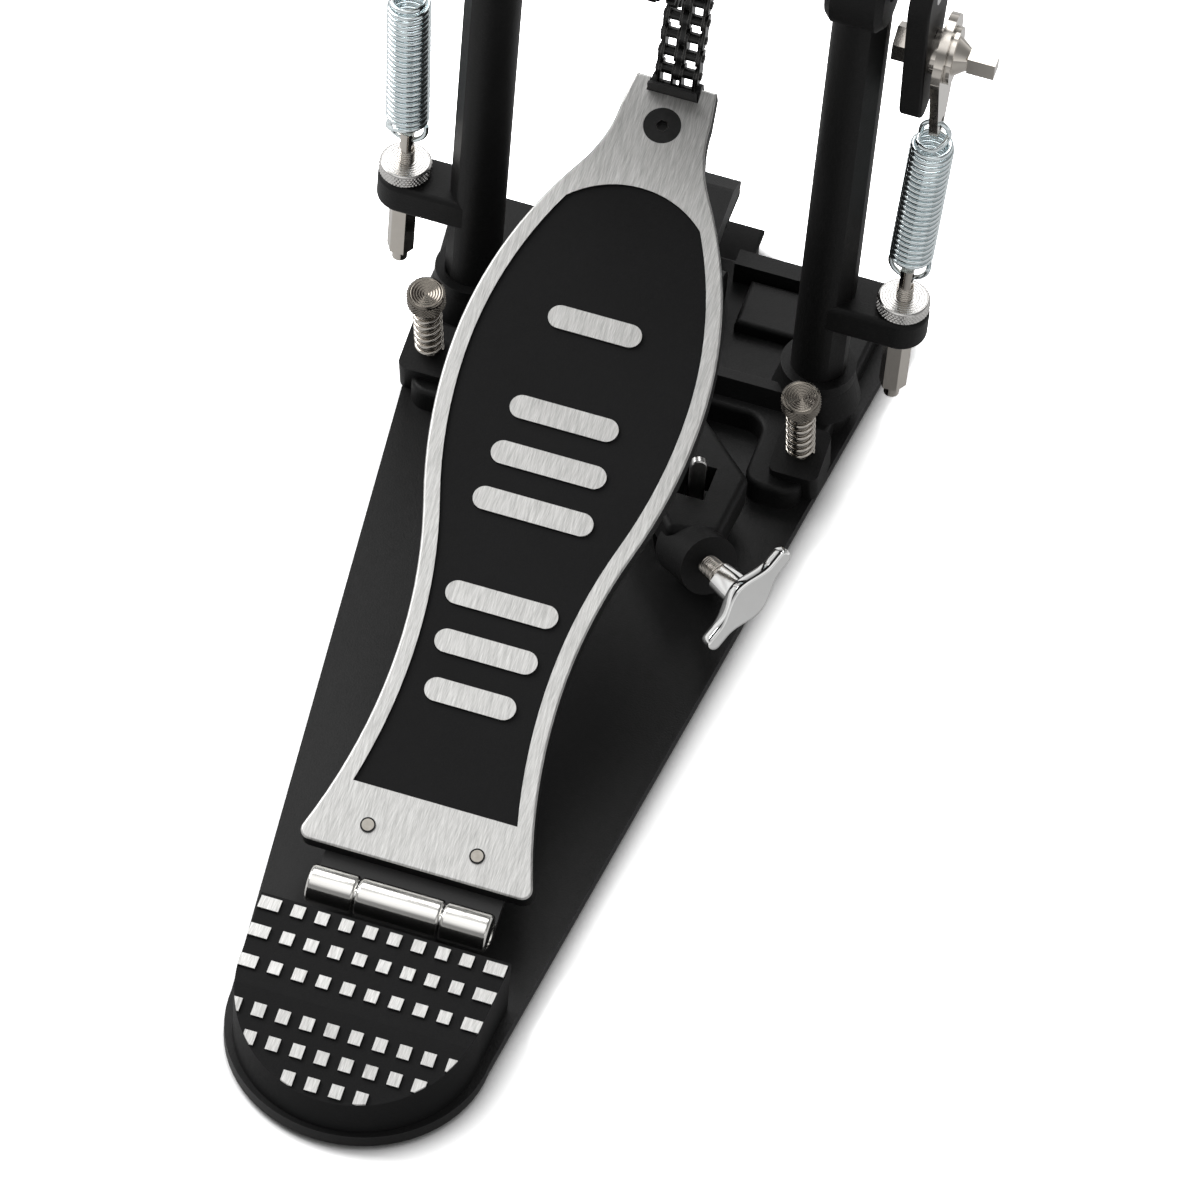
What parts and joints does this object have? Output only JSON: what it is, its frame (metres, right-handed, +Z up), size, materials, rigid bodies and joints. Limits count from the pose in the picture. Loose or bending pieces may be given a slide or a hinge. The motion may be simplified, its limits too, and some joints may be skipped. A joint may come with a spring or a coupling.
{
  "type": "double bass drum pedal",
  "caption": "Main unit of a double bass drum pedal: hinged footboard on a base plate, chain and sprocket drive, sprung shafts, felt beaters, spur screws and a hoop clamp.",
  "frame": {"origin": "on the floor under the base, midway between the two posts", "axes": "X across the pedal to the player's right, Y towards the drum, Z up"},
  "size_m": [0.1939, 0.3616, 0.344],
  "materials": {
    "rubber": "black ribbed rubber",
    "black_steel": "satin black paint",
    "black_alloy": "black powder coat on cast aluminium",
    "heel_alloy": "black casting with bare brushed squares",
    "board_alloy": "brushed aluminium with a recessed black field",
    "zinc": "bright zinc plate",
    "nickel": "nickel plate",
    "steel": "bright steel",
    "chrome": "chrome plate",
    "chain_steel": "black oxide chain steel",
    "felt": "pressed grey felt"
  },
  "bodies": {
    "frame": {"rubber_underlay": "rubber", "base_plate": "black_steel", "base_screws": "zinc", "hoop_pad": "rubber", "pedestal": "black_alloy", "left_post": "black_alloy", "right_post": "black_alloy", "left_bearing": "steel", "right_bearing": "steel", "heel_hinge_block": "chrome", "hinge_pin": "chrome", "heel_plate": "heel_alloy", "clamp_pin": "steel", "clamp_guide_post": "chrome", "clamp_ramp": "black_alloy", "left_spur_spring": "zinc", "right_spur_spring": "zinc"},
    "footboard": {"footboard": "board_alloy", "board_hinge_leaf": "chrome", "hinge_rivets": "steel", "chain_screw": "black_steel", "chain_anchor": "black_steel"},
    "chain_run": {"chain_run": "chain_steel"},
    "chain_link_low": {"chain_link_low": "chain_steel"},
    "chain_link_middle": {"chain_link_middle": "chain_steel"},
    "chain_link_high": {"chain_link_high": "chain_steel"},
    "main_shaft": {"main_shaft": "steel", "sprocket": "black_alloy", "chain_wrap": "chain_steel", "right_beater_hub": "black_alloy", "right_hub_screw": "nickel", "right_crank": "black_alloy", "right_rocker_bolt": "nickel"},
    "second_shaft": {"second_shaft": "steel", "left_beater_hub": "black_alloy", "left_hub_screw": "nickel", "left_crank": "black_alloy", "left_rocker_bolt": "nickel"},
    "clamp_lever": {"clamp_lever": "black_alloy", "jaw_pad": "rubber"},
    "screw_foot": {"screw_foot": "steel"},
    "wing_screw": {"wing_screw": "chrome"},
    "left_spur_screw": {"left_spur_screw": "nickel"},
    "left_tension_rod": {"left_tension_rod": "nickel"},
    "left_tension_nut": {"left_tension_nut": "nickel"},
    "left_lock_nut": {"left_lock_nut": "nickel"},
    "left_return_spring": {"left_return_spring": "zinc"},
    "left_rocker": {"left_rocker": "nickel"},
    "left_beater": {"left_beater_rod": "chrome", "left_beater_head": "felt"},
    "right_spur_screw": {"right_spur_screw": "nickel"},
    "right_tension_rod": {"right_tension_rod": "nickel"},
    "right_tension_nut": {"right_tension_nut": "nickel"},
    "right_lock_nut": {"right_lock_nut": "nickel"},
    "right_return_spring": {"right_return_spring": "zinc"},
    "right_rocker": {"right_rocker": "nickel"},
    "right_beater": {"right_beater_rod": "chrome", "right_beater_head": "felt"}
  },
  "joints": [
    {"name": "main_shaft_spin", "type": "hinge", "parent": "frame", "child": "main_shaft", "pos_m": [0, 0, 0.19237], "axis": [-1, 0, 0], "range_deg": [0, 45], "stiffness_Nm_per_rad": 1.5, "springref_deg": -22.92},
    {"name": "second_shaft_spin", "type": "hinge", "parent": "frame", "child": "second_shaft", "pos_m": [-0.05, 0, 0.19237], "axis": [-1, 0, 0], "range_deg": [0, 45], "stiffness_Nm_per_rad": 1.5, "springref_deg": -22.92},
    {"name": "footboard_press", "type": "hinge", "parent": "frame", "child": "footboard", "pos_m": [0, -0.2293, 0.02], "axis": [-1, 0, 0], "range_deg": [0, 4.8]},
    {"name": "chain_run_swing", "type": "hinge", "parent": "footboard", "child": "chain_run", "pos_m": [0, 0.01047, 0.11307], "axis": [1, 0, 0], "range_deg": [0, 9.8]},
    {"name": "chain_high_bend", "type": "hinge", "parent": "main_shaft", "child": "chain_link_high", "pos_m": [0, 0.01997, 0.20626], "axis": [1, 0, 0], "range_deg": [0, 15.1]},
    {"name": "chain_middle_bend", "type": "hinge", "parent": "chain_link_high", "child": "chain_link_middle", "pos_m": [0, 0.02288, 0.20062], "axis": [1, 0, 0], "range_deg": [0, 15.1]},
    {"name": "chain_low_bend", "type": "hinge", "parent": "chain_link_middle", "child": "chain_link_low", "pos_m": [0, 0.02424, 0.19441], "axis": [1, 0, 0], "range_deg": [0, 15.1]},
    {"name": "left_rocker_swing", "type": "hinge", "parent": "second_shaft", "child": "left_rocker", "pos_m": [-0.0785, 0, 0.16737], "axis": [1, 0, 0], "range_deg": [0, 55.9]},
    {"name": "left_spring_pull", "type": "slide", "parent": "frame", "child": "left_return_spring", "axis": [0, -0.8569, 0.5155], "range_m": [0, 0.0146], "deforming": ["left_return_spring"]},
    {"name": "left_beater_set", "type": "slide", "parent": "second_shaft", "child": "left_beater", "axis": [0, -0.5736, 0.8192], "range_m": [0, 0.02]},
    {"name": "left_tension_turn", "type": "hinge", "parent": "frame", "child": "left_tension_nut", "pos_m": [-0.076, 0, 0.04], "axis": [0, 0, 1], "range_deg": [-720, 720]},
    {"name": "left_rod_lift", "type": "slide", "parent": "frame", "child": "left_tension_rod", "axis": [0, 0, 1], "range_m": [-0.00161, 0.00161], "deforming": ["left_return_spring"]},
    {"name": "left_lock_nut_spin", "type": "hinge", "parent": "frame", "child": "left_lock_nut", "pos_m": [-0.076, 0, 0.0624], "axis": [0, 0, 1], "continuous": true},
    {"name": "left_spur_drive", "type": "slide", "parent": "frame", "child": "left_spur_screw", "axis": [0, 0.2504, -0.9681], "range_m": [0, 0.006], "deforming": ["left_spur_spring"]},
    {"name": "right_rocker_swing", "type": "hinge", "parent": "main_shaft", "child": "right_rocker", "pos_m": [0.0785, 0, 0.16737], "axis": [1, 0, 0], "range_deg": [0, 55.9]},
    {"name": "right_spring_pull", "type": "slide", "parent": "frame", "child": "right_return_spring", "axis": [0, -0.8569, 0.5155], "range_m": [0, 0.0146], "deforming": ["right_return_spring"]},
    {"name": "right_beater_set", "type": "slide", "parent": "main_shaft", "child": "right_beater", "axis": [0, -0.5736, 0.8192], "range_m": [0, 0.02]},
    {"name": "right_tension_turn", "type": "hinge", "parent": "frame", "child": "right_tension_nut", "pos_m": [0.076, 0, 0.04], "axis": [0, 0, 1], "range_deg": [-720, 720]},
    {"name": "right_rod_lift", "type": "slide", "parent": "frame", "child": "right_tension_rod", "axis": [0, 0, 1], "range_m": [-0.00161, 0.00161], "deforming": ["right_return_spring"]},
    {"name": "right_lock_nut_spin", "type": "hinge", "parent": "frame", "child": "right_lock_nut", "pos_m": [0.076, 0, 0.0624], "axis": [0, 0, 1], "continuous": true},
    {"name": "right_spur_drive", "type": "slide", "parent": "frame", "child": "right_spur_screw", "axis": [0, 0.2504, -0.9681], "range_m": [0, 0.006], "deforming": ["right_spur_spring"]},
    {"name": "clamp_lever_tilt", "type": "hinge", "parent": "frame", "child": "clamp_lever", "pos_m": [0, 0.018, 0.023], "axis": [-1, 0, 0], "range_deg": [0, 4.9]},
    {"name": "screw_foot_push", "type": "slide", "parent": "clamp_lever", "child": "screw_foot", "axis": [-0.6209, 0.6612, -0.421], "range_m": [0, 0.0034]},
    {"name": "wing_turn", "type": "hinge", "parent": "screw_foot", "child": "wing_screw", "pos_m": [0.045, -0.082, 0.022], "axis": [0.6209, -0.6612, 0.421], "range_deg": [0, 1440]}
  ],
  "couplings": [
    {"joint": "footboard_press", "follows": "main_shaft_spin", "ratio": 0.10435},
    {"joint": "chain_run_swing", "follows": "main_shaft_spin", "ratio": 0.21537},
    {"joint": "chain_high_bend", "follows": "main_shaft_spin", "ratio": 0.33333},
    {"joint": "chain_middle_bend", "follows": "main_shaft_spin", "ratio": 0.33333},
    {"joint": "chain_low_bend", "follows": "main_shaft_spin", "ratio": 0.33333},
    {"joint": "left_rocker_swing", "follows": "second_shaft_spin", "ratio": 1.2367},
    {"joint": "left_spring_pull", "follows": "second_shaft_spin", "m_per_rad": 0.01838},
    {"joint": "left_rod_lift", "follows": "left_tension_turn", "m_per_rad": 0.00012732},
    {"joint": "right_rocker_swing", "follows": "main_shaft_spin", "ratio": 1.2367},
    {"joint": "right_spring_pull", "follows": "main_shaft_spin", "m_per_rad": 0.01838},
    {"joint": "right_rod_lift", "follows": "right_tension_turn", "m_per_rad": 0.00012732},
    {"joint": "clamp_lever_tilt", "follows": "wing_turn", "ratio": 0.0033333},
    {"joint": "screw_foot_push", "follows": "wing_turn", "m_per_rad": 0.0001313}
  ]
}
